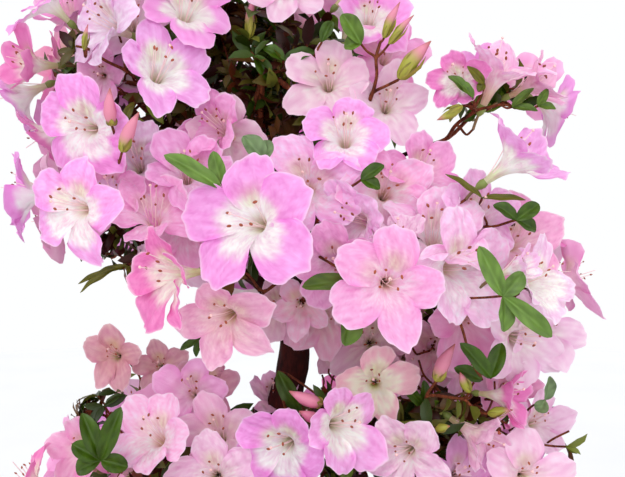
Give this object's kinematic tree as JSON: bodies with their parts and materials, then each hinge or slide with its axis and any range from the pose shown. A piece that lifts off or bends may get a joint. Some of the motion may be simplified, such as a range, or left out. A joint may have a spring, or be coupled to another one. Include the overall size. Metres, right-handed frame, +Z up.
{
  "type": "potted azalea shrub",
  "caption": "Flowering azalea shrub in a round clay pot: a leaning trunk, short boughs and two tiers of pink funnel-shaped blossom with an open gap between them.",
  "frame": {"origin": "middle of the flat underside of the pot, on the surface that it stands on", "axes": "+Z up, -Y towards the side of the shrub that the picture shows, +X to the right of that view"},
  "size_m": [0.399, 0.3624, 0.6995],
  "materials": {
    "clay": "matt fired clay with paler bloom",
    "mix": "coarse dark potting mix",
    "bark": "dark red-brown bark, fissured and matt",
    "blossom": "soft pink petals with paler throats, among mid-green leaves"
  },
  "bodies": {
    "root": {"bough_lower_back_left": "bark", "bough_lower_back_right": "bark", "bough_lower_front": "bark", "bough_lower_front_right": "bark", "bough_lower_left": "bark", "bough_middle_back_left": "bark", "bough_middle_back_right": "bark", "bough_middle_front": "bark", "bough_middle_front_left": "bark", "bough_middle_right": "bark", "bough_right_spray": "bark", "bough_upper_back_left": "bark", "bough_upper_back_right": "bark", "bough_upper_front_left": "bark", "bough_upper_front_right": "bark", "foliage_lower_back_left": "blossom", "foliage_lower_back_right": "blossom", "foliage_lower_front": "blossom", "foliage_lower_front_right": "blossom", "foliage_lower_left": "blossom", "foliage_middle_back_left": "blossom", "foliage_middle_back_right": "blossom", "foliage_middle_front": "blossom", "foliage_middle_front_left": "blossom", "foliage_middle_right": "blossom", "foliage_right_spray": "blossom", "foliage_top": "blossom", "foliage_upper_back_left": "blossom", "foliage_upper_back_right": "blossom", "foliage_upper_front_left": "blossom", "foliage_upper_front_right": "blossom", "pot": "clay", "potting_mix": "mix", "trunk": "bark"}
  },
  "joints": []
}
